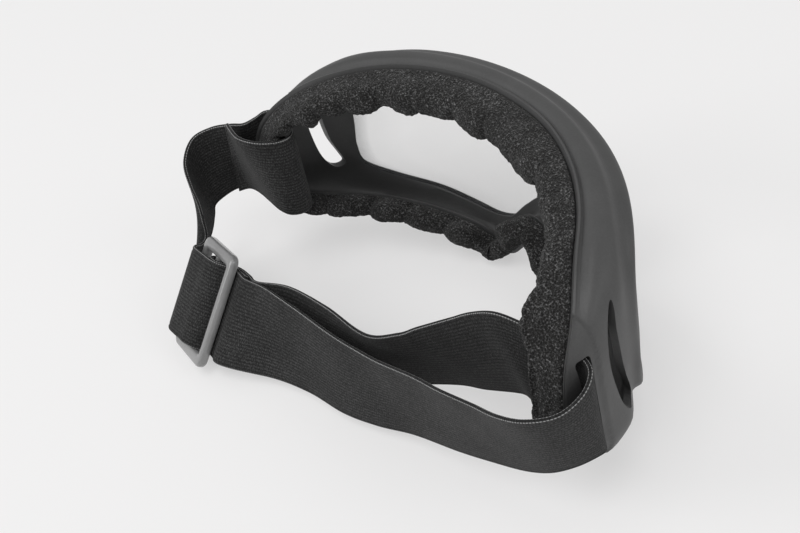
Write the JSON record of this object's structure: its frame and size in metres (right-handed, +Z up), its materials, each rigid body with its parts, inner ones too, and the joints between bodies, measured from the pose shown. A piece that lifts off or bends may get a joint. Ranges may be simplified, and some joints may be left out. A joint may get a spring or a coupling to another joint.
{
  "type": "safety goggles",
  "caption": "Safety goggles: soft frame with side vents and a nose notch, curved clear lens, face foam ring, and a woven elastic strap through two end slots with a buckle.",
  "frame": {"origin": "centre of the bounding box at the surface that the goggles rest on", "axes": "+X to the wearer's left and along the longest extent, -Y out through the lens, +Z up; the worn axes are tipped back by 8.4 degrees about X, as the goggles rest on the nose rim and the slider"},
  "size_m": [0.2028, 0.141, 0.0846],
  "materials": {
    "frame": "matt",
    "lens": "clear",
    "foam": "matt",
    "strap": "matt",
    "slider": "gloss"
  },
  "bodies": {
    "goggles": {"frame": "frame", "lens": "lens", "foam": "foam", "strap_far_loop": "strap", "strap_far_run": "strap", "strap_outer_run": "strap", "strap_near_turn": "strap", "strap_inner_run": "strap"},
    "strap_loop": {"strap_sewn_loop": "strap", "strap_slider_turn": "strap"},
    "slider": {"slider": "slider"}
  },
  "joints": [
    {"name": "slider_adjust", "type": "slide", "parent": "goggles", "child": "strap_loop", "axis": [0.9775, -0.0034, -0.2107], "range_m": [-0.012, 0.012], "deforming": ["strap_far_run", "strap_outer_run", "strap_inner_run"]},
    {"name": "slider_tilt", "type": "hinge", "parent": "strap_loop", "child": "slider", "pos_m": [0.06616, 0.052, 0.01843], "axis": [-0.1367, 0.7505, -0.6466], "range_deg": [0, 18], "deforming": ["strap_slider_turn", "strap_sewn_loop"]}
  ]
}
